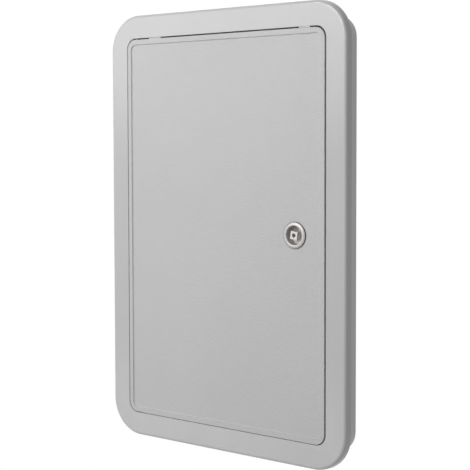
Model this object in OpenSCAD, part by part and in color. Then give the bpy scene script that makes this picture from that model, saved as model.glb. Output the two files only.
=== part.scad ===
// Flush access panel with a side-hung door and a quarter-turn square-key lock.
// X runs to the right and Z up. Y runs into the wall, and the wall surface is at Y = 0.
// A depth is measured from the front face of the bezel, into the wall.

/* [Panel] */
// Width of the bezel
panel_w = 305; // [260:1:380]
// Height of the bezel
panel_h = 451; // [360:1:600]
// Corner radius of the bezel
corner_r = 37.5; // [30:0.5:42]
// Bezel width beside the door
border_side = 23.3; // [22.5:0.1:30]
// Bezel width above and below the door
border_end = 24.4; // [23.5:0.1:32]
// Depth of the bezel's turned-back rim, which ends at the wall surface
rim_depth = 8.5; // [8:0.5:12]
// Radius of the bezel's front edge
edge_r = 3; // [2.8:0.1:4.5]
// Outward lean of the rim from front to back
rim_draft = 0.5; // [0:0.1:1]
// Wall thickness of the frame moulding
wall_t = 2.5; // [2:0.1:2.8]

/* [Collar] */
// Distance from the bezel's edge in to the collar
collar_inset = 12.5; // [11.5:0.1:13]
// Depth of the collar behind the wall surface
collar_depth = 27.5; // [25:0.5:60]
// Corner radius of the collar
collar_r = 22; // [18:1:26]
// Thickness of the stiffening webs in the frame
web_t = 1.8; // [1.2:0.1:2.4]
// Pitch of the stiffening webs
web_pitch = 50; // [40:5:80]

/* [Rebate] */
// Depth of the ledge that carries the seal
ledge_depth = 21; // [20.5:0.5:24]
// Width of the ledge
ledge_w = 20; // [19:0.5:21]
// Width of the seal
seal_w = 7.5; // [6:0.1:7.8]
// Thickness of the seal
seal_t = 4.5; // [3:0.1:5]
// Height of the water lip on the ledge's inner edge
lip_h = 4; // [2:0.1:5]
// Thickness of the water lip
lip_t = 2; // [1.4:0.1:2]

/* [Door] */
// Seam above the door
seam_top = 1.2; // [0.9:0.1:1.6]
// Seam below the door
seam_bottom = 0.5; // [0.4:0.1:0.9]
// Seam on the lock side
seam_side = 1.7; // [1.2:0.1:2.2]
// Seam on the hinge side
hinge_gap = 0.35; // [0.35:0.05:1]
// Corner radius of the door
door_corner_r = 10.9; // [9:0.1:12]
// How much larger the opening's corner radius is
corner_step = 0.7; // [0.5:0.1:0.9]
// Wall thickness of the door
door_t = 2.5; // [2:0.1:2.8]
// Width of the flat band round the door's field
band_w = 5.2; // [4.6:0.1:6]
// Drop of the door's field behind its band
field_drop = 1.3; // [0.8:0.1:1.6]
// Radius of the cove that leads from the band to the field
cove_r = 1.3; // [0.8:0.1:1.3]
// Radius of the door's edges at the seam
seam_r = 0.4; // [0.3:0.1:0.8]
// Depth of the door's turned-back edge
skirt_depth = 8; // [6.5:0.5:8.5]
// How far past the hinge axis the relief for the swing reaches along the door's ends
swing_reach = 8; // [6:0.5:12]
// Depth of the stiffening ribs on the door's back
rib_h = 4.5; // [2:0.5:6]
// Thickness of the stiffening ribs
rib_t = 1.6; // [1.2:0.1:2.4]
// Columns of cells between the ribs
rib_columns = 5; // [3:1:7]
// Rows of cells between the ribs
rib_rows = 8; // [4:1:10]

/* [Locating pads] */
// Width of the pad near the hinge side
left_pad_w = 16.4; // [8:0.1:24]
// Distance of that pad's middle from the panel's middle
left_pad_x = 90; // [70:0.5:98]
// Depth of that pad's front
left_pad_depth = 1; // [0:0.1:3]
// Width of the pad near the lock side
right_pad_w = 12.8; // [8:0.1:24]
// Distance of that pad's middle from the panel's middle
right_pad_x = 103.8; // [70:0.5:105]

/* [Hinge] */
// Diameter of the hinge pins
pin_d = 3; // [2.5:0.1:3.4]
// Depth of the pin's axis
pin_depth = 4; // [3.8:0.1:4.1]
// Length of the pin inside the door
pin_in_door = 20; // [14:1:30]
// Length of the pin inside the frame
pin_in_frame = 6; // [4:0.5:6]
// Diameter of the hinge washers
hinge_washer_d = 6; // [5:0.1:6.6]
// Depth of the flat seats of the hinge washers
washer_seat = 0.6; // [0.4:0.1:1]

/* [Screw holes] */
// Radius of the fixing screw holes
screw_r = 2.25; // [1.5:0.05:2.5]
// Radius of their countersinks
countersink_r = 4.2; // [3:0.1:4.4]
// Depth of the screw holes' axes
screw_depth = 14.5; // [14:0.1:15]
// Spacing of the screw holes on each long side
side_spacing = 240; // [160:10:300]
// Spacing of the screw holes on each short side
end_spacing = 150; // [100:10:180]
// Diameter of the bosses round the screw holes
boss_d = 10; // [9:0.1:10.4]

/* [Lock] */
// Distance from the door's edge to the lock's axis
lock_backset = 35.5; // [35:0.5:60]
// Height of the lock's axis above the panel's middle
lock_z = 0.6; // [-60:0.1:60]
// How far the lock's head reaches past its body all round
head_overhang = 1.8; // [1.6:0.1:3]
// Thickness of the lock's head
head_t = 1.5; // [1.4:0.1:2.4]
// Fall of the head's domed face from its middle to its edge
dome_h = 1; // [0.6:0.1:1.2]
// Width of the head's flat land round the key recess
head_land = 0.5; // [0.2:0.1:0.8]
// Width of the chamfer round the key recess
recess_chamfer = 0.6; // [0.3:0.1:0.8]
// Thickness of the gasket under the head
gasket_t = 0.6; // [0.5:0.1:1.2]
// How far the gasket shows past the head all round
gasket_rim = 0.4; // [0.1:0.1:0.6]
// Diameter of the lock's threaded body
body_d = 22; // [21:0.1:24]
// Depth of each of the two flats on the body
flat_cut = 1; // [0.6:0.1:1.2]
// Wall of the body round the key recess
recess_wall = 1.8; // [1.6:0.1:2.2]
// Depth of the key recess
recess_depth = 9; // [7:0.5:9.5]
// Width across the square key post
post_w = 8; // [7:0.1:8.5]
// Diameter of the hole in the post
post_hole_d = 4; // [3:0.1:5]
// How far the post's top lies behind the head's face
post_sink = 0.3; // [0.2:0.1:2]
// Diameter of the rotor's shaft
shaft_d = 12.8; // [12:0.1:13.2]
// Width across the square tail that drives the cam
tail_w = 8; // [7.5:0.1:8.4]
// Wall of the nut beside its bore
nut_wall = 2.5; // [2:0.1:3]
// Thickness of the nut
nut_t = 5; // [4:0.5:7]
// Clockwise turn of the square post in the closed panel, seen from the front
rest_turn = 8; // [0:1:15]
// Turn between the open and the locked position
lock_turn = 90; // [80:1:100]

/* [Cam] */
// Length of the cam from the lock's axis to its tip
cam_l = 32; // [30:0.5:33]
// Width of the cam's tongue
cam_w = 14; // [10:0.5:16]
// Thickness of the cam
cam_t = 2.5; // [2:0.1:3]
// Diameter of the cam's round end
cam_hub_d = 20; // [17:0.5:22]
// Height of the strike behind the ledge
strike_h = 0.8; // [0.4:0.1:1.5]
// Length of the strike
strike_l = 40; // [30:1:60]

/* [Clearances] */
// Gap between a moving piece and the piece that it passes
clear = 0.3; // [0.25:0.01:0.4]
// Radial gap of a shaft in its bore
running = 0.05; // [0.02:0.01:0.1]
// Gap of a piece that is fitted once and stays
fitted = 0.15; // [0.05:0.01:0.2]
// Gap between the locating pads and the edge of the door that slides in under them
pad_gap = 0.1; // [0.05:0.01:0.3]

/* [Hidden] */
$fn = 64;
// length that carries a cutter past what it cuts
past = 1;
plastic_light = [0.80, 0.80, 0.79];
plastic_door = [0.78, 0.78, 0.77];
rubber_dark = [0.16, 0.16, 0.16];
nickel = [0.78, 0.77, 0.74];
nickel_cast = [0.70, 0.69, 0.65];
steel = [0.62, 0.62, 0.63];
acetal_dark = [0.14, 0.14, 0.14];

opening_w = panel_w - 2 * border_side;
opening_h = panel_h - 2 * border_end;
opening_r = door_corner_r + corner_step;
collar_w = panel_w - 2 * collar_inset;
collar_h = panel_h - 2 * collar_inset;
inside_w = opening_w - 2 * ledge_w;
inside_h = opening_h - 2 * ledge_w;
inside_r = 5;
ledge_back = ledge_depth + wall_t;
seal_depth = ledge_depth - seal_t;
// the seal's middle line, measured in from the opening's edge
seal_line = ledge_w - lip_t - fitted - seal_w / 2;

door_left = -opening_w / 2 + hinge_gap;
door_right = opening_w / 2 - seam_side;
door_w = door_right - door_left;
door_x = (door_left + door_right) / 2;
door_h = opening_h - seam_top - seam_bottom;
door_z = (seam_bottom - seam_top) / 2;
field_back = field_drop + door_t;
// the sealing rib stands on the seal's middle line all round
seal_rib_w = opening_w - 2 * seal_line;
seal_rib_h = opening_h - 2 * seal_line;
seal_rib_r = 6;
seal_rib_end = seal_depth - clear;

// the hinge axis passes through the centres of the opening's corner arcs
pin_x = opening_r - opening_w / 2;
pin_inset = pin_x - door_left;
hinge_boss_w = 2 * pin_depth;
hinge_socket_d = 2 * (pin_depth - clear);

lock_x = door_right - lock_backset;
head_d = body_d + 2 * head_overhang;
gasket_d = head_d + 2 * gasket_rim;
body_flat = body_d - 2 * flat_cut;
recess_d = body_d - 2 * recess_wall;
head_back = field_drop - gasket_t;
head_front = head_back - head_t;
recess_floor = head_front + recess_depth;
disc_t = 2.5;
disc_back = recess_floor + disc_t;
nut_w = body_d + 2 * nut_wall;
tooth_l = 2;
nut_washer_d = nut_w + 2 * tooth_l;
nut_washer_t = 1;
land_d = nut_washer_d + 4;
cam_front = ledge_back + strike_h + clear;
cam_back = cam_front + cam_t;
stop_t = 1.2;
housing_end = cam_front - stop_t - running;
// the stop's lug runs in an open notch in the housing's end
lug_angle = 30;
lug_h = 2.2;
lug_inner_r = shaft_d / 2 + 0.8;
lug_outer_r = body_flat / 2 - 0.4;
stop_margin = 3;
// direction of the lug while the cam points straight up
stop_dir = 100;
ring_t = 1.7;
groove_w = 2.2;
groove_depth = (disc_back + housing_end) / 2;
cam_washer_d = 11;
cam_washer_t = 1;
screw_d = 5;
screw_head_w = 8;
screw_head_t = 3.5;
screw_l = 10;

// Rounded rectangle about the middle, in exact arcs
module rounded(w, h, r) {
    square([w - 2 * r, h], center = true);
    square([w, h - 2 * r], center = true);
    for (x = [-1, 1], y = [-1, 1])
        translate([x * (w / 2 - r), y * (h / 2 - r)])
            circle(r);
}

// Flat band between two rounded rectangles
module band(w, h, r, inner_w, inner_h, inner_r) {
    difference() {
        rounded(w, h, r);
        rounded(inner_w, inner_h, inner_r);
    }
}

// Stands its child at a depth, with the child's z running into the wall and its y running down
module at_depth(depth) {
    translate([0, depth - rim_depth, 0])
        rotate([-90, 0, 0])
            children();
}

// Sweeps a section round a rounded rectangle. The section's x points away from the middle.
module swept(w, h, r) {
    for (side = [0, 180])
        rotate([0, 0, side])
            translate([w / 2, 0, 0])
                rotate([90, 0, 0])
                    linear_extrude(h - 2 * r, center = true)
                        children();
    for (side = [90, 270])
        rotate([0, 0, side])
            translate([h / 2, 0, 0])
                rotate([90, 0, 0])
                    linear_extrude(w - 2 * r, center = true)
                        children();
    for (turn = [0:3]) {
        x = (turn == 0 || turn == 3) ? 1 : -1;
        y = turn < 2 ? 1 : -1;
        translate([x * (w / 2 - r), y * (h / 2 - r), 0])
            rotate([0, 0, turn * 90])
                rotate_extrude(angle = 90)
                    translate([r, 0])
                        children();
    }
}

// What an edge of radius r loses at its corner, which lies at the section's origin
module edge_waste(r) {
    difference() {
        translate([-past, -past])
            square(r + past);
        translate([r, r])
            circle(r);
    }
}

// Section of the bezel's rim: a rounded front edge and a leaning skirt
module rim_section() {
    difference() {
        union() {
            translate([-edge_r, edge_r])
                intersection() {
                    circle(edge_r);
                    translate([0, -edge_r])
                        square(edge_r);
                }
            polygon([[-edge_r, edge_r], [0, edge_r], [rim_draft, rim_depth],
                     [rim_draft - wall_t, rim_depth], [-edge_r, edge_r]]);
        }
        translate([-edge_r, edge_r])
            circle(edge_r - wall_t);
    }
}

// Bezel plate between the rim and the opening
module bezel_plate() {
    linear_extrude(wall_t)
        band(panel_w - 2 * edge_r, panel_h - 2 * edge_r, corner_r - edge_r,
             opening_w, opening_h, opening_r);
}

// Stiffening webs across the back of the bezel, between two distances from its edge
module webs(from_edge, to_edge, depth) {
    long_count = floor((panel_h / 2 - corner_r) / web_pitch);
    short_count = floor((panel_w / 2 - corner_r - web_pitch / 2) / web_pitch);
    span = to_edge - from_edge;
    for (i = [-long_count:long_count], side = [-1, 1])
        translate([side * (panel_w / 2 - from_edge - span / 2), i * web_pitch, depth / 2])
            cube([span, web_t, depth], center = true);
    for (i = [-short_count:short_count], side = [-1, 1])
        translate([i * web_pitch, side * (panel_h / 2 - from_edge - span / 2), depth / 2])
            cube([web_t, span, depth], center = true);
}

// Puts its child at each fixing hole, with the child's z pointing out of the panel's middle.
// $reach is the distance from the opening's edge to the outside of the collar.
module at_screws() {
    for (side = [-1, 1], z = [-1, 1]) {
        $reach = border_side - collar_inset;
        translate([side * opening_w / 2, screw_depth - rim_depth, z * side_spacing / 2])
            rotate([0, side * 90, 0])
                children();
    }
    for (side = [-1, 1], x = [-1, 1]) {
        $reach = border_end - collar_inset;
        translate([x * end_spacing / 2, screw_depth - rim_depth, side * opening_h / 2])
            rotate([side > 0 ? 0 : 180, 0, 0])
                children();
    }
}

// Puts its child at the hinge axis on both ends of the opening, with z pointing out
module at_hinge_ends() {
    for (side = [0, 1])
        mirror([0, 0, side])
            translate([pin_x, pin_depth - rim_depth, opening_h / 2])
                children();
}

// Pad that fills the seam above the door
module locating_pad(x, w, front) {
    translate([x - w / 2, front - rim_depth, opening_h / 2 - seam_top + pad_gap])
        cube([w, skirt_depth - front, seam_top - pad_gap + wall_t / 2]);
}

// Ramped strike behind the ledge, where the cam slides home
module strike() {
    x0 = inside_w / 2;
    x1 = opening_w / 2 + wall_t / 2;
    ramp = strike_h * 5;
    translate([x0, 0, lock_z])
        rotate([0, 90, 0])
            linear_extrude(x1 - x0)
                polygon([[-strike_l / 2, ledge_back - rim_depth - wall_t / 2],
                         [-strike_l / 2, ledge_back - rim_depth],
                         [-strike_l / 2 + ramp, ledge_back - rim_depth + strike_h],
                         [strike_l / 2 - ramp, ledge_back - rim_depth + strike_h],
                         [strike_l / 2, ledge_back - rim_depth],
                         [strike_l / 2, ledge_back - rim_depth - wall_t / 2]]);
}

module frame() {
    color(plastic_light)
        difference() {
            union() {
                at_depth(0)
                    swept(panel_w, panel_h, corner_r)
                        rim_section();
                at_depth(0)
                    bezel_plate();
                at_depth(0)
                    linear_extrude(ledge_back)
                        band(opening_w + 2 * wall_t, opening_h + 2 * wall_t, opening_r + wall_t,
                             opening_w, opening_h, opening_r);
                at_depth(ledge_depth)
                    linear_extrude(wall_t)
                        band(opening_w + wall_t, opening_h + wall_t, opening_r + wall_t / 2,
                             inside_w, inside_h, inside_r);
                at_depth(ledge_depth - lip_h)
                    linear_extrude(lip_h + wall_t / 2)
                        band(inside_w + 2 * lip_t, inside_h + 2 * lip_t, inside_r + lip_t,
                             inside_w, inside_h, inside_r);
                at_depth(wall_t / 2)
                    linear_extrude(rim_depth + collar_depth - wall_t / 2)
                        band(collar_w, collar_h, collar_r,
                             collar_w - 2 * wall_t, collar_h - 2 * wall_t, collar_r - wall_t);
                at_depth(0)
                    webs(wall_t, collar_inset + wall_t / 2, rim_depth - past);
                at_depth(0)
                    webs(collar_inset + wall_t / 2, border_side - wall_t / 2, ledge_depth - wall_t);
                at_screws()
                    translate([0, 0, wall_t / 2])
                        cylinder(d = boss_d, h = $reach - wall_t);
                at_hinge_ends()
                    cylinder(d = hinge_socket_d, h = border_end - collar_inset - wall_t / 2);
                locating_pad(-left_pad_x, left_pad_w, left_pad_depth);
                locating_pad(right_pad_x, right_pad_w, 0);
                strike();
            }
            at_depth(0)
                swept(opening_w, opening_h, opening_r)
                    edge_waste(seam_r);
            at_screws()
                translate([0, 0, -past])
                    cylinder(r = screw_r, h = $reach + 2 * past);
            at_screws()
                cylinder(r1 = countersink_r, r2 = screw_r, h = countersink_r - screw_r);
            at_hinge_ends()
                translate([0, 0, -past])
                    cylinder(r = pin_d / 2 + running, h = past + pin_in_frame + clear);
            at_hinge_ends()
                translate([0, 0, -past])
                    cylinder(d = hinge_washer_d + 2 * fitted, h = past + washer_seat);
        }
}

// Seal with a flat foot and a round back, glued to the ledge
module door_seal() {
    foot_t = seal_t / 3;
    color(rubber_dark)
        at_depth(seal_depth)
            swept(seal_rib_w, seal_rib_h, seal_rib_r) {
                translate([-seal_w / 2, seal_t - foot_t])
                    square([seal_w, foot_t]);
                translate([0, seal_t / 2])
                    circle(d = seal_t);
            }
}

// Washers that carry the door on its lower pin and keep it off the frame
module hinge_washers() {
    thick = seam_bottom + washer_seat - running;
    color(acetal_dark)
        at_hinge_ends()
            translate([0, 0, washer_seat - thick])
                difference() {
                    cylinder(d = hinge_washer_d, h = thick);
                    translate([0, 0, -past])
                        cylinder(r = pin_d / 2 + fitted, h = thick + 2 * past);
                }
}

// Stiffening ribs on the door's back, with a round land left free for the lock
module door_ribs() {
    cell_w = seal_rib_w / rib_columns;
    cell_h = seal_rib_h / rib_rows;
    at_depth(field_back - door_t / 2)
        linear_extrude(rib_h + door_t / 2)
            difference() {
                union() {
                    for (i = [1:rib_columns - 1])
                        translate([i * cell_w - seal_rib_w / 2, 0])
                            square([rib_t, seal_rib_h], center = true);
                    for (i = [1:rib_rows - 1])
                        translate([0, i * cell_h - seal_rib_h / 2])
                            square([seal_rib_w, rib_t], center = true);
                    translate([lock_x, -lock_z])
                        circle(d = land_d + 2 * rib_t);
                }
                translate([lock_x, -lock_z])
                    circle(d = land_d);
            }
}

// Boss at each hinge end of the door that holds a pin, kept inside the door's rounded corner
module hinge_boss() {
    from = door_t / 2;
    start = field_back - from;
    intersection() {
        at_hinge_ends()
            translate([-pin_inset, start - pin_depth, -seam_top - pin_in_door - door_t])
                cube([pin_inset + hinge_boss_w / 2,
                      pin_depth + hinge_boss_w / 2 - start,
                      seam_top + pin_in_door + door_t]);
        translate([door_x, 0, door_z])
            at_depth(start - past)
                linear_extrude(pin_depth + hinge_boss_w / 2 - start + 2 * past)
                    rounded(door_w - 2 * from, door_h - 2 * from, door_corner_r - from);
    }
}

// Stands its child on the lock's axis at a depth
module at_lock(depth) {
    translate([lock_x, 0, lock_z])
        at_depth(depth)
            children();
}

// Outline of the lock's body: a round with two flats
module body_outline(gap) {
    intersection() {
        circle(d = body_d + 2 * gap);
        square([body_flat + 2 * gap, body_d + 2 * gap + past], center = true);
    }
}

module door_panel() {
    field_edge = band_w + cove_r;
    color(plastic_door)
        difference() {
            union() {
                translate([door_x, 0, door_z])
                    at_depth(field_drop)
                        linear_extrude(door_t)
                            rounded(door_w, door_h, door_corner_r);
                translate([door_x, 0, door_z])
                    at_depth(0)
                        linear_extrude(field_back)
                            band(door_w, door_h, door_corner_r, door_w - 2 * band_w,
                                 door_h - 2 * band_w, door_corner_r - band_w);
                translate([door_x, 0, door_z])
                    at_depth(0)
                        linear_extrude(skirt_depth)
                            band(door_w, door_h, door_corner_r,
                                 door_w - 2 * door_t, door_h - 2 * door_t, door_corner_r - door_t);
                at_depth(field_back - door_t / 2)
                    linear_extrude(seal_rib_end - field_back + door_t / 2)
                        band(seal_rib_w + rib_t, seal_rib_h + rib_t, seal_rib_r + rib_t / 2,
                             seal_rib_w - rib_t, seal_rib_h - rib_t, seal_rib_r - rib_t / 2);
                translate([door_x, 0, door_z])
                    at_depth(0)
                        swept(door_w - 2 * field_edge, door_h - 2 * field_edge, door_corner_r - field_edge)
                            difference() {
                                square([cove_r + past / 2, field_drop + past / 2]);
                                circle(cove_r);
                            }
                door_ribs();
                hinge_boss();
            }
            translate([door_x, 0, door_z])
                at_depth(0)
                    door_edge(seam_r);
            swing_relief();
            at_hinge_ends()
                translate([0, 0, -seam_top - pin_in_door])
                    cylinder(r = pin_d / 2 + running / 2, h = pin_in_door + seam_top);
            at_lock(field_drop - past)
                linear_extrude(door_t + 2 * past)
                    body_outline(fitted);
        }
}

// What the door's front edge loses all round to a radius
module door_edge(r) {
    swept(door_w, door_h, door_corner_r)
        mirror([1, 0])
            edge_waste(r);
}

// Half section of the space in which the door can turn about its hinge axis: the opening's own
// outline less the gap. Its x is the distance from the axis.
module swing_section() {
    reach = opening_r - clear;
    straight = opening_h - 2 * opening_r;
    translate([0, -straight / 2])
        square([reach, straight]);
    for (side = [-1, 1])
        intersection() {
            translate([0, side * straight / 2])
                circle(reach);
            translate([0, side > 0 ? 0 : -opening_h / 2])
                square([reach, opening_h / 2]);
        }
}

// What the door loses in front of its hinge axis, so that it swings inside the opening
module swing_relief() {
    difference() {
        translate([door_left - past, -rim_depth - past, -opening_h / 2])
            cube([pin_inset + swing_reach + past, pin_depth + past, opening_h]);
        translate([pin_x, pin_depth - rim_depth, 0]) {
            rotate_extrude()
                swing_section();
            rotate([90, 0, 90])
                linear_extrude(swing_reach + past)
                    mirror([1, 0])
                        swing_section();
        }
    }
}

module hinge_pin() {
    chamfer = 0.5;
    low = -seam_top - pin_in_door + fitted;
    translate([0, 0, low])
        rotate_extrude()
            polygon([[0, 0], [pin_d / 2 - chamfer, 0], [pin_d / 2, chamfer],
                     [pin_d / 2, pin_in_frame - low - chamfer],
                     [pin_d / 2 - chamfer, pin_in_frame - low], [0, pin_in_frame - low]]);
}

module hinge_pin_upper() {
    color(steel)
        translate([pin_x, pin_depth - rim_depth, opening_h / 2])
            hinge_pin();
}

module hinge_pin_lower() {
    color(steel)
        translate([pin_x, pin_depth - rim_depth, -opening_h / 2])
            mirror([0, 0, 1])
                hinge_pin();
}

// Part of a disc between two radii, from one angle to another
module sector(inner_r, outer_r, from, to, h) {
    rotate([0, 0, from])
        rotate_extrude(angle = to - from)
            translate([inner_r, 0])
                square([outer_r - inner_r, h]);
}

// Everything that turns with the key post
module turned() {
    rotate([0, 0, rest_turn])
        children();
}

// Half section of the lock's head: a flat land and a face that falls in an arc to a short edge
module head_section() {
    land_r = recess_d / 2 + recess_chamfer + head_land;
    run = head_d / 2 - land_r;
    dome_r = (run * run + dome_h * dome_h) / (2 * dome_h);
    square([land_r, head_t]);
    intersection() {
        translate([land_r, dome_r])
            circle(dome_r);
        square([head_d / 2, head_t]);
    }
}

module lock_housing() {
    half = lug_angle / 2 + stop_margin;
    color(nickel)
        difference() {
            union() {
                at_lock(head_front)
                    rotate_extrude()
                        head_section();
                at_lock(head_front + dome_h)
                    linear_extrude(housing_end - head_front - dome_h)
                        body_outline(0);
            }
            at_lock(head_front - past)
                cylinder(d = recess_d, h = past + recess_depth + disc_t + running);
            at_lock(head_front)
                cylinder(r1 = recess_d / 2 + recess_chamfer, r2 = recess_d / 2, h = recess_chamfer);
            at_lock(disc_back)
                cylinder(r = shaft_d / 2 + running, h = housing_end - disc_back + past);
            at_lock(housing_end - lug_h - clear)
                sector(lug_inner_r - clear, body_d, stop_dir - half, stop_dir + lock_turn + half,
                       lug_h + clear + past);
        }
}

module lock_gasket() {
    color(rubber_dark)
        at_lock(head_back)
            linear_extrude(gasket_t)
                difference() {
                    circle(d = gasket_d);
                    body_outline(fitted);
                }
}

// Washer with outer teeth that bite the door's back
module lock_washer() {
    teeth = 12;
    color(steel)
        at_lock(field_back)
            linear_extrude(nut_washer_t)
                difference() {
                    circle(d = nut_washer_d);
                    circle(d = body_d + 2 * fitted);
                    for (i = [0:teeth - 1])
                        rotate([0, 0, i * 360 / teeth])
                            translate([nut_w / 2 + tooth_l, 0])
                                square([1.2 * tooth_l, tooth_l], center = true);
                }
}

module lock_nut() {
    corner_d = nut_w / cos(30);
    color(steel)
        at_lock(field_back + nut_washer_t)
            difference() {
                intersection() {
                    cylinder(d = corner_d, h = nut_t, $fn = 6);
                    rotate_extrude($fn = 64)
                        polygon([[0, 0], [corner_d / 2, 0], [corner_d / 2, nut_t - 1],
                                 [nut_w / 2 - 0.4, nut_t], [0, nut_t]]);
                }
                translate([0, 0, -past])
                    cylinder(r = body_d / 2 + running, h = nut_t + 2 * past);
            }
}

module lock_rotor() {
    tail_end = cam_back - fitted;
    color(nickel_cast)
        difference() {
            union() {
                at_lock(head_front + post_sink)
                    turned()
                        linear_extrude(recess_depth - post_sink + disc_t / 2)
                            square(post_w, center = true);
                at_lock(recess_floor)
                    cylinder(r = recess_d / 2 - running, h = disc_t);
                at_lock(recess_floor)
                    cylinder(d = shaft_d, h = housing_end - recess_floor);
                at_lock(housing_end - past)
                    turned()
                        linear_extrude(tail_end - housing_end + past)
                            square(tail_w, center = true);
            }
            at_lock(head_front)
                cylinder(d = post_hole_d, h = recess_depth);
            at_lock(groove_depth - groove_w / 2)
                linear_extrude(groove_w)
                    difference() {
                        circle(d = shaft_d + past);
                        circle(r = shaft_d / 2 - ring_t);
                    }
            at_lock(tail_end - screw_l - past)
                cylinder(r = screw_d / 2 + running, h = screw_l + 2 * past);
        }
}

module rotor_o_ring() {
    color(rubber_dark)
        at_lock(groove_depth)
            rotate_extrude()
                translate([(shaft_d - ring_t) / 2, 0])
                    circle(d = ring_t);
}

// Stop that lets the rotor turn between its two positions
module stop_washer() {
    color(steel)
        at_lock(housing_end + running)
            turned()
                difference() {
                    union() {
                        cylinder(r = lug_outer_r, h = stop_t);
                        translate([0, 0, -lug_h - running])
                            sector(lug_inner_r, lug_outer_r, stop_dir - lug_angle / 2,
                                   stop_dir + lug_angle / 2, lug_h + stop_t / 2);
                    }
                    translate([0, 0, -past])
                        linear_extrude(stop_t + 2 * past)
                            square(tail_w + 2 * running, center = true);
                }
}

module lock_cam() {
    neck = cam_l - cam_w / 2;
    color(steel)
        at_lock(cam_front)
            turned()
                linear_extrude(cam_t)
                    difference() {
                        union() {
                            circle(d = cam_hub_d);
                            translate([-cam_w / 2, -neck])
                                square([cam_w, neck]);
                            translate([0, -neck])
                                circle(d = cam_w);
                        }
                        square(tail_w + 2 * running, center = true);
                    }
}

module cam_washer() {
    color(steel)
        at_lock(cam_back)
            difference() {
                cylinder(d = cam_washer_d, h = cam_washer_t);
                translate([0, 0, -past])
                    cylinder(d = screw_d + 2 * fitted, h = cam_washer_t + 2 * past);
            }
}

module cam_screw() {
    color(steel)
        at_lock(cam_back + cam_washer_t) {
            cylinder(d = screw_head_w / cos(30), h = screw_head_t, $fn = 6);
            translate([0, 0, -screw_l])
                cylinder(d = screw_d, h = screw_l + screw_head_t / 2);
        }
}

frame();
door_seal();
hinge_washers();
door_panel();
hinge_pin_upper();
hinge_pin_lower();
lock_housing();
lock_gasket();
lock_washer();
lock_nut();
lock_rotor();
rotor_o_ring();
stop_washer();
lock_cam();
cam_washer();
cam_screw();
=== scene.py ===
import bpy
import bmesh
import math
from mathutils import Matrix, Vector


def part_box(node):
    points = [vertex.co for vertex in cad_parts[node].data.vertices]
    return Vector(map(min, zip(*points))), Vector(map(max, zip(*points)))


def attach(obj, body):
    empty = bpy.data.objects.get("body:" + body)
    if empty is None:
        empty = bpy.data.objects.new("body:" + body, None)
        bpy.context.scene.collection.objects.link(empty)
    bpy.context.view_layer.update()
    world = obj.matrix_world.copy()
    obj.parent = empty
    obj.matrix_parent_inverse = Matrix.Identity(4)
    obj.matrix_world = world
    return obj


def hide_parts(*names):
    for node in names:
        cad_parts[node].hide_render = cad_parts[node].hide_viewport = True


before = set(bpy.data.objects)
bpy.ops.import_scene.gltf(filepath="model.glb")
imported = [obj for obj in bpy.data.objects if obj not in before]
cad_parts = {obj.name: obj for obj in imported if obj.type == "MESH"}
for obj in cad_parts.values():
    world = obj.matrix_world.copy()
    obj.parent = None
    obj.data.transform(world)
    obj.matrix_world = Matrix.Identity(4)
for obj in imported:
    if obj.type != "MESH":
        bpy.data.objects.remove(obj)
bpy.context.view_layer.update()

# All sizes are in metres, and places come from the frame where it has them
MM = 0.001
PANEL_BOTTOM_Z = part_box("frame")[0].z
POST_TOP_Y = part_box("lock_rotor")[0].y
HEAD_TOP_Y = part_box("lock_housing")[0].y
RECESS_DEPTH = 9 * MM
RECESS_FLOOR_Y = HEAD_TOP_Y + RECESS_DEPTH

# Plain tones of the two mouldings, as linear reflectance
FRAME_TONE = 0.495
# Painted light: the collar behind the front face gets a lighter tone than the frame, standing in for the
# light that reaches its side
COLLAR_PAINTED_LIGHT_TONE = 0.62
DOOR_TONE = 0.515

# Plain tones of the lock's nickel in front, and inside the key recess tones with painted light: darker on
# the housing's recess as painted shade, lighter on the rotor's floor as painted light
HEAD_NICKEL = 0.43
RECESS_PAINTED_SHADE_NICKEL = 0.34
POST_NICKEL = 0.46
FLOOR_PAINTED_LIGHT_NICKEL = 0.62

# Camera, placed in the panel's own frame
CAM_LENS = 93.9
CAM_SENSOR = 36.0
CAM_PLACE = Vector((0.7893, -0.9661, 0.0929))
CAM_AZIMUTH = math.radians(38.825)
CAM_TILT = math.radians(3.095)
CAM_ROLL = math.radians(-0.14)
CAM_SHIFT_Y = -0.0608


def make_camera():
    data = bpy.data.cameras.new("camera")
    data.lens = CAM_LENS
    data.sensor_width = CAM_SENSOR
    data.shift_y = CAM_SHIFT_Y
    data.clip_start = 0.01
    data.clip_end = 100
    camera = bpy.data.objects.new("camera", data)
    bpy.context.scene.collection.objects.link(camera)
    back = Vector((math.sin(CAM_AZIMUTH) * math.cos(CAM_TILT),
                   -math.cos(CAM_AZIMUTH) * math.cos(CAM_TILT),
                   math.sin(CAM_TILT)))
    right = Vector((0, 0, 1)).cross(back).normalized()
    up = back.cross(right)
    rolled_right = right * math.cos(CAM_ROLL) + up * math.sin(CAM_ROLL)
    rolled_up = up * math.cos(CAM_ROLL) - right * math.sin(CAM_ROLL)
    turn = Matrix((rolled_right, rolled_up, back)).transposed().to_4x4()
    camera.matrix_world = Matrix.Translation(CAM_PLACE) @ turn
    bpy.context.scene.camera = camera


# Materials

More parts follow.
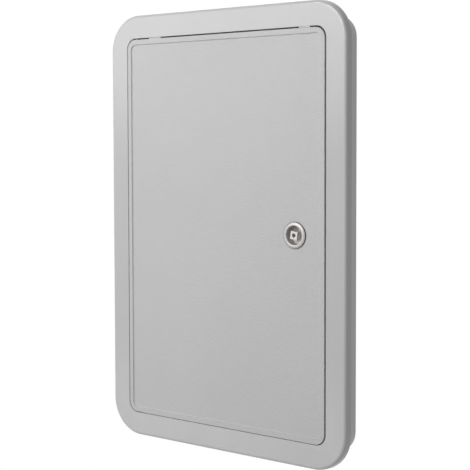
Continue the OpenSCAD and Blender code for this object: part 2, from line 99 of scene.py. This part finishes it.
class Shader:
    """A material with its nodes, and short ways to add the usual ones.

    Scales of noise are in cycles per metre, and heights of bumps in metres."""

    def __init__(self, name):
        self.material = bpy.data.materials.new(name)
        self.material.use_nodes = True
        self.tree = self.material.node_tree
        self.principled = self.tree.nodes["Principled BSDF"]
        self.place = self.add("ShaderNodeTexCoord").outputs["Object"]

    def add(self, kind, **settings):
        node = self.tree.nodes.new(kind)
        for key, value in settings.items():
            setattr(node, key, value)
        return node

    def link(self, source, target):
        self.tree.links.new(source, target)

    def set(self, **values):
        for key, value in values.items():
            self.principled.inputs[key].default_value = value

    def noise(self, scale, detail=3.0, roughness=0.5, stretch=(1, 1, 1)):
        mapping = self.add("ShaderNodeMapping")
        mapping.inputs["Scale"].default_value = stretch
        self.link(self.place, mapping.inputs["Vector"])
        node = self.add("ShaderNodeTexNoise")
        node.inputs["Scale"].default_value = scale
        node.inputs["Detail"].default_value = detail
        node.inputs["Roughness"].default_value = roughness
        self.link(mapping.outputs["Vector"], node.inputs["Vector"])
        return node.outputs["Fac"]

    def ranged(self, value, low, high, from_low=0.3, from_high=0.7):
        """Spreads a value over a new range. The usual old one is the middle of a noise."""
        node = self.add("ShaderNodeMapRange")
        node.inputs["From Min"].default_value = from_low
        node.inputs["From Max"].default_value = from_high
        node.inputs["To Min"].default_value = low
        node.inputs["To Max"].default_value = high
        self.link(value, node.inputs["Value"])
        return node.outputs["Result"]

    def mottle(self, scale, detail=3.0):
        """A soft cloud that runs from 0 to 1."""
        return self.ranged(self.noise(scale, detail), 0, 1)

    def minus(self, a, b):
        node = self.add("ShaderNodeMath", operation="SUBTRACT")
        self.link(a, node.inputs[0])
        self.link(b, node.inputs[1])
        return node.outputs["Value"]

    def two_tone(self, factor, dark, light):
        node = self.add("ShaderNodeMix", data_type="RGBA")
        self.link(factor, node.inputs["Factor"])
        node.inputs["A"].default_value = (*dark, 1)
        node.inputs["B"].default_value = (*light, 1)
        return node.outputs["Result"]

    def blend(self, factor, a, b):
        node = self.add("ShaderNodeMix", data_type="RGBA")
        self.link(factor, node.inputs["Factor"])
        self.link(a, node.inputs["A"])
        self.link(b, node.inputs["B"])
        return node.outputs["Result"]

    def behind(self, from_y, to_y):
        """Rises from 0 to 1 between two places on the object's own Y axis."""
        split = self.add("ShaderNodeSeparateXYZ")
        self.link(self.place, split.inputs["Vector"])
        return self.ranged(split.outputs["Y"], 0, 1, from_y, to_y)

    def bump(self, height, distance, strength=1.0, after=None):
        node = self.add("ShaderNodeBump")
        node.inputs["Distance"].default_value = distance
        node.inputs["Strength"].default_value = strength
        self.link(height, node.inputs["Height"])
        if after:
            self.link(after, node.inputs["Normal"])
        return node.outputs["Normal"]

    def colour(self, source):
        self.link(source, self.principled.inputs["Base Color"])

    def roughness(self, source):
        self.link(source, self.principled.inputs["Roughness"])

    def metallic(self, source):
        self.link(source, self.principled.inputs["Metallic"])

    def normal(self, source):
        self.link(source, self.principled.inputs["Normal"])


def grey(level, warmth=0.0):
    return (level * (1 + warmth), level, level * (1 - warmth))


def clouded(s, cloud, tone, spread, warmth=0.0):
    """A tone that a cloud darkens and lightens by a share of itself."""
    return s.two_tone(cloud, grey(tone * (1 - spread), warmth), grey(tone * (1 + spread), warmth))


def frame_plastic():
    """Smooth satin moulding, with painted light: a little lighter on the set-back part that is hidden in
    the wall.
    """
    s = Shader("frame_plastic")
    cloud = s.mottle(9, 2)
    # Painted light: the mask that lightens the collar behind the front face
    collar_painted_light = s.behind(-0.8 * MM, 0.0)
    s.colour(s.blend(collar_painted_light, clouded(s, cloud, FRAME_TONE, 0.02), clouded(s, cloud, COLLAR_PAINTED_LIGHT_TONE, 0.02)))
    s.roughness(s.ranged(s.noise(60, 2, stretch=(1, 1, 0.08)), 0.19, 0.25))
    peel = s.bump(s.noise(420, 2), 0.04 * MM)
    s.normal(s.bump(s.noise(35, 1), 0.4 * MM, 0.15, after=peel))
    s.set(IOR=1.5)
    return s.material


def door_plastic():
    """Matt moulding with a fine grain in two sizes."""
    s = Shader("door_plastic")
    s.colour(clouded(s, s.mottle(7, 2), DOOR_TONE, 0.02))
    s.roughness(s.ranged(s.noise(90, 3), 0.48, 0.58))
    grain = s.bump(s.noise(520, 3, 0.6), 0.42 * MM)
    s.normal(s.bump(s.noise(1500, 2, 0.6), 0.14 * MM, 0.8, after=grain))
    s.set(IOR=1.48)
    return s.material


def rubber():
    s = Shader("seal_rubber")
    s.colour(s.two_tone(s.mottle(200), grey(0.018), grey(0.032)))
    s.roughness(s.ranged(s.noise(300, 3), 0.6, 0.8))
    s.normal(s.bump(s.noise(1500, 2), 0.05 * MM, 0.5))
    return s.material


def acetal():
    s = Shader("acetal")
    s.colour(s.two_tone(s.mottle(150, 2), grey(0.035), grey(0.05)))
    s.roughness(s.ranged(s.noise(300, 2), 0.35, 0.45))
    s.normal(s.bump(s.noise(900, 2), 0.03 * MM))
    return s.material


def metal(name, dark, light, rough_low, rough_high, grain=(1, 1, 1)):
    s = Shader(name)
    s.set(Metallic=1.0)
    s.colour(s.two_tone(s.mottle(180), grey(dark), grey(light)))
    s.roughness(s.ranged(s.noise(800, 3, stretch=grain), rough_low, rough_high))
    s.normal(s.bump(s.noise(800, 2, stretch=grain), 0.02 * MM, 0.5))
    return s.material


def nickel_with_painted_recess_light(name, bright, recess_painted_tone, top_y):
    """Satin nickel, with painted light in the depth of the key recess: there the colour turns to a second
    tone, painted shade or painted light, and the metal is less metallic.
    """
    s = Shader(name)
    cloud = s.mottle(300)
    # Painted light in the key recess: the mask that turns the colour to the recess tone, painted shade on
    # the housing and painted light on the rotor's floor
    painted_recess_light = s.minus(s.behind(top_y + 0.8 * MM, top_y + 2.2 * MM),
                   s.behind(RECESS_FLOOR_Y + 1.0 * MM, RECESS_FLOOR_Y + 1.5 * MM))
    s.colour(s.blend(painted_recess_light, clouded(s, cloud, bright, 0.06, 0.02), clouded(s, cloud, recess_painted_tone, 0.12, 0.05)))
    s.metallic(s.ranged(painted_recess_light, 1.0, 0.5, 0, 1))
    s.roughness(s.ranged(s.noise(700, 3), 0.5, 0.62))
    s.normal(s.bump(s.noise(900, 2), 0.02 * MM, 0.5))
    return s.material


def dress_all():
    finishes = (
        (frame_plastic(), ["frame"]),
        (door_plastic(), ["door_panel"]),
        (rubber(), ["door_seal", "lock_gasket", "rotor_o_ring"]),
        (acetal(), ["hinge_washers"]),
        (metal("steel", 0.50, 0.58, 0.2, 0.3, grain=(1, 1, 0.02)), ["hinge_pin_upper", "hinge_pin_lower"]),
        (nickel_with_painted_recess_light("lock_nickel", HEAD_NICKEL, RECESS_PAINTED_SHADE_NICKEL, HEAD_TOP_Y), ["lock_housing"]),
        (nickel_with_painted_recess_light("rotor_nickel_painted_light", POST_NICKEL, FLOOR_PAINTED_LIGHT_NICKEL, POST_TOP_Y), ["lock_rotor"]),
        (metal("zinc_steel", 0.48, 0.60, 0.25, 0.45),
         ["lock_washer", "lock_nut", "stop_washer", "lock_cam", "cam_washer", "cam_screw"]),
    )
    for material, nodes in finishes:
        for node in nodes:
            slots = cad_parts[node].data.materials
            slots.clear()
            slots.append(material)


# Thread of the lock body, which the solid leaves plain

BODY_R = 11 * MM
THREAD_PITCH = 1.5 * MM
THREAD_DEPTH = 0.6 * MM
THREAD_FLANK = math.radians(30)
THREAD_STEPS = 48
# How far the cutter stands out of the body
THREAD_PAST = 0.15 * MM
WELD = 0.0001 * MM
SHARP_EDGE = math.radians(25)


def helix_cutter(axis_x, axis_z, start_y, end_y):
    """A closed three-sided bar wound round the body, with its edge at the thread's root."""
    build = bmesh.new()
    root = BODY_R - THREAD_DEPTH
    crest = BODY_R + THREAD_PAST
    half = (crest - root) * math.tan(THREAD_FLANK)
    rings = []
    for i in range(round((end_y - start_y) / THREAD_PITCH * THREAD_STEPS) + 1):
        turn = 2 * math.pi * i / THREAD_STEPS
        y = start_y + THREAD_PITCH * i / THREAD_STEPS
        out = Vector((math.cos(turn), 0, math.sin(turn)))
        middle = Vector((axis_x, y, axis_z))
        rings.append([build.verts.new(middle + out * r + Vector((0, along, 0)))
                      for r, along in ((root, 0), (crest, -half), (crest, half))])
    for a, b in zip(rings, rings[1:]):
        for k in range(3):
            build.faces.new((a[k], a[k - 1], b[k - 1], b[k]))
    build.faces.new(rings[0])
    build.faces.new(rings[-1])
    bmesh.ops.triangulate(build, faces=build.faces[:])
    bmesh.ops.recalc_face_normals(build, faces=build.faces[:])
    mesh = bpy.data.meshes.new("helix_cutter")
    build.to_mesh(mesh)
    build.free()
    return bpy.data.objects.new("helix_cutter", mesh)


def welded_copy(mesh):
    """The mesh with its faces joined along their edges."""
    copy = mesh.copy()
    build = bmesh.new()
    build.from_mesh(copy)
    bmesh.ops.remove_doubles(build, verts=build.verts[:], dist=WELD)
    build.to_mesh(copy)
    build.free()
    return copy


def cut_out(piece, cutter):
    """Takes the cutter out of the piece's mesh and deletes the cutter."""
    for made in (piece, cutter):
        bpy.context.scene.collection.objects.link(made)
    cut = piece.modifiers.new("cut", "BOOLEAN")
    cut.operation = "DIFFERENCE"
    cut.solver = "EXACT"
    cut.object = cutter
    shown = piece.evaluated_get(bpy.context.evaluated_depsgraph_get())
    mesh = bpy.data.meshes.new_from_object(shown)
    piece.modifiers.clear()
    piece.data = mesh
    bpy.data.objects.remove(cutter)
    mesh.shade_smooth()
    mesh.set_sharp_from_angle(angle=SHARP_EDGE)


def threaded_housing():
    """The lock housing with a screw thread cut into its body behind the door."""
    nut_lo, nut_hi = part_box("lock_nut")
    start_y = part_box("lock_washer")[0].y + THREAD_PITCH / 2
    end_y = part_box("lock_housing")[1].y + THREAD_PITCH
    cutter = helix_cutter((nut_lo.x + nut_hi.x) / 2, (nut_lo.z + nut_hi.z) / 2, start_y, end_y)
    piece = bpy.data.objects.new("threaded_housing", welded_copy(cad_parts["lock_housing"].data))
    cut_out(piece, cutter)
    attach(piece, "door")
    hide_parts("lock_housing")


# Stage

FLOOR_DROP = 0.5
FLOOR_Z = PANEL_BOTTOM_Z - FLOOR_DROP
FLOOR_SIZE = 60
AMBIENT = 0.33


def seen_as_background(tree):
    """1 for the rays that show the surroundings, 0 for those that light the object."""
    path = tree.nodes.new("ShaderNodeLightPath")
    seen = path.outputs["Is Camera Ray"]
    for ray in ("Is Glossy Ray", "Is Transmission Ray"):
        either = tree.nodes.new("ShaderNodeMath")
        either.operation = "MAXIMUM"
        tree.links.new(seen, either.inputs[0])
        tree.links.new(path.outputs[ray], either.inputs[1])
        seen = either.outputs["Value"]
    return seen


def floor_material():
    s = Shader("floor")
    s.colour(s.two_tone(s.mottle(3, 2), grey(0.78), grey(0.80)))
    s.roughness(s.ranged(s.noise(12, 2), 0.85, 0.95))
    white = s.add("ShaderNodeEmission")
    white.inputs["Strength"].default_value = 1.0
    mixed = s.add("ShaderNodeMixShader")
    s.link(seen_as_background(s.tree), mixed.inputs["Fac"])
    s.link(s.principled.outputs["BSDF"], mixed.inputs[1])
    s.link(white.outputs["Emission"], mixed.inputs[2])
    s.link(mixed.outputs["Shader"], s.tree.nodes["Material Output"].inputs["Surface"])
    return s.material


def make_floor():
    mesh = bpy.data.meshes.new("floor")
    build = bmesh.new()
    bmesh.ops.create_grid(build, x_segments=1, y_segments=1, size=FLOOR_SIZE / 2)
    build.to_mesh(mesh)
    build.free()
    mesh.materials.append(floor_material())
    floor = bpy.data.objects.new("floor", mesh)
    floor.location = (0, 0, FLOOR_Z)
    bpy.context.scene.collection.objects.link(floor)


def make_world():
    world = bpy.data.worlds.new("world")
    bpy.context.scene.world = world
    world.use_nodes = True
    tree = world.node_tree
    strength = tree.nodes.new("ShaderNodeMapRange")
    strength.inputs["To Min"].default_value = AMBIENT
    strength.inputs["To Max"].default_value = 1.0
    tree.links.new(seen_as_background(tree), strength.inputs["Value"])
    background = tree.nodes["Background"]
    background.inputs["Color"].default_value = (1, 1, 1, 1)
    tree.links.new(strength.outputs["Result"], background.inputs["Strength"])


def area_light(name, place, aim, size, power):
    data = bpy.data.lights.new(name, "AREA")
    data.shape = "RECTANGLE"
    data.size, data.size_y = size
    data.energy = power
    light = bpy.data.objects.new(name, data)
    light.location = place
    light.rotation_mode = "QUATERNION"
    light.rotation_quaternion = (Vector(place) - Vector(aim)).to_track_quat("Z", "Y")
    bpy.context.scene.collection.objects.link(light)


def make_lights():
    """A soft key in front, and to the left a window and a card low down, which the bezel mirrors."""
    area_light("key", place=(-0.25, -1.0, 0.6), aim=(0, 0, 0), size=(0.5, 0.5), power=7.5)
    area_light("window", place=(-1.65, -2.0, 0.55), aim=(-1.0, 0.0, 0.1), size=(1.8, 0.7), power=11.5)
    area_light("card", place=(-1.6, -1.75, FLOOR_Z + 0.01), aim=(-1.6, -1.749, 1.0),
               size=(1.5, 0.8), power=7.5)


make_camera()
dress_all()
threaded_housing()
make_floor()
make_world()
make_lights()

bpy.context.scene.view_settings.view_transform = "Standard"
